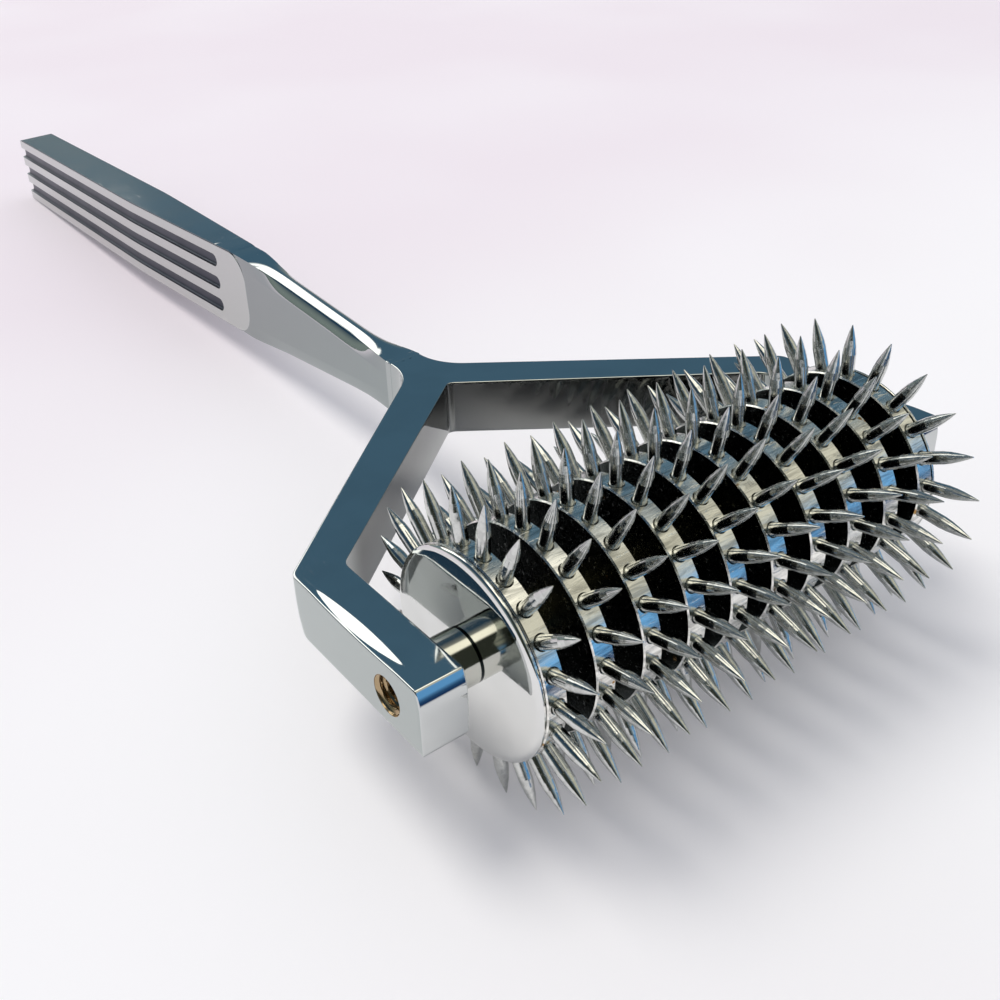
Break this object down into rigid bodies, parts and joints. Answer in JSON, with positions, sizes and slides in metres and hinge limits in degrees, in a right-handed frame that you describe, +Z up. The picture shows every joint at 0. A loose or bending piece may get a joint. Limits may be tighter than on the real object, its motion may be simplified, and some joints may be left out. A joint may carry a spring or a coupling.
{
  "type": "neurological pinwheel",
  "caption": "Wide sensory-test roller of separate spiked steel wheels on one axle, carried in a Y-shaped fork with a flat grooved grip.",
  "frame": {"origin": "middle of the base of the tool's bounding box as it lies on a table: on the lowest spikes and on the lower corner of the butt", "axes": "+X along the roller to the right, +Y along the handle towards the butt, +Z up from the table"},
  "size_m": [0.0636, 0.1936, 0.0292],
  "materials": {
    "fork_steel": "polished, with fine wear marks",
    "axle_steel": "turned",
    "bush_steel": "polished",
    "disc_steel": "mirror polished",
    "ring_steel": "turned",
    "wheel_steel": "mirror faces, scratched rim",
    "spike_steel": "ground points"
  },
  "bodies": {
    "fork_and_axle": {"fork": "fork_steel", "axle": "axle_steel", "end_bush_left": "bush_steel", "end_bush_right": "bush_steel", "end_disc_left": "disc_steel", "end_disc_right": "disc_steel", "bush_ring_01": "ring_steel", "bush_ring_02": "ring_steel", "bush_ring_03": "ring_steel", "bush_ring_04": "ring_steel", "bush_ring_05": "ring_steel", "bush_ring_06": "ring_steel", "bush_ring_07": "ring_steel", "bush_ring_08": "ring_steel", "bush_ring_09": "ring_steel"},
    "wheel_01_body": {"wheel_01": "wheel_steel", "spikes_01": "spike_steel"},
    "wheel_02_body": {"wheel_02": "wheel_steel", "spikes_02": "spike_steel"},
    "wheel_03_body": {"wheel_03": "wheel_steel", "spikes_03": "spike_steel"},
    "wheel_04_body": {"wheel_04": "wheel_steel", "spikes_04": "spike_steel"},
    "wheel_05_body": {"wheel_05": "wheel_steel", "spikes_05": "spike_steel"},
    "wheel_06_body": {"wheel_06": "wheel_steel", "spikes_06": "spike_steel"},
    "wheel_07_body": {"wheel_07": "wheel_steel", "spikes_07": "spike_steel"},
    "wheel_08_body": {"wheel_08": "wheel_steel", "spikes_08": "spike_steel"},
    "wheel_09_body": {"wheel_09": "wheel_steel", "spikes_09": "spike_steel"},
    "wheel_10_body": {"wheel_10": "wheel_steel", "spikes_10": "spike_steel"}
  },
  "joints": [
    {"name": "wheel_01_spin", "type": "hinge", "parent": "fork_and_axle", "child": "wheel_01_body", "pos_m": [-0.0225, -0.08202, 0.0146], "axis": [1, 0, 0], "continuous": true},
    {"name": "wheel_02_spin", "type": "hinge", "parent": "fork_and_axle", "child": "wheel_02_body", "pos_m": [-0.0175, -0.08202, 0.0146], "axis": [1, 0, 0], "continuous": true},
    {"name": "wheel_03_spin", "type": "hinge", "parent": "fork_and_axle", "child": "wheel_03_body", "pos_m": [-0.0125, -0.08202, 0.0146], "axis": [1, 0, 0], "continuous": true},
    {"name": "wheel_04_spin", "type": "hinge", "parent": "fork_and_axle", "child": "wheel_04_body", "pos_m": [-0.0075, -0.08202, 0.0146], "axis": [1, 0, 0], "continuous": true},
    {"name": "wheel_05_spin", "type": "hinge", "parent": "fork_and_axle", "child": "wheel_05_body", "pos_m": [-0.0025, -0.08202, 0.0146], "axis": [1, 0, 0], "continuous": true},
    {"name": "wheel_06_spin", "type": "hinge", "parent": "fork_and_axle", "child": "wheel_06_body", "pos_m": [0.0025, -0.08202, 0.0146], "axis": [1, 0, 0], "continuous": true},
    {"name": "wheel_07_spin", "type": "hinge", "parent": "fork_and_axle", "child": "wheel_07_body", "pos_m": [0.0075, -0.08202, 0.0146], "axis": [1, 0, 0], "continuous": true},
    {"name": "wheel_08_spin", "type": "hinge", "parent": "fork_and_axle", "child": "wheel_08_body", "pos_m": [0.0125, -0.08202, 0.0146], "axis": [1, 0, 0], "continuous": true},
    {"name": "wheel_09_spin", "type": "hinge", "parent": "fork_and_axle", "child": "wheel_09_body", "pos_m": [0.0175, -0.08202, 0.0146], "axis": [1, 0, 0], "continuous": true},
    {"name": "wheel_10_spin", "type": "hinge", "parent": "fork_and_axle", "child": "wheel_10_body", "pos_m": [0.0225, -0.08202, 0.0146], "axis": [1, 0, 0], "continuous": true}
  ]
}
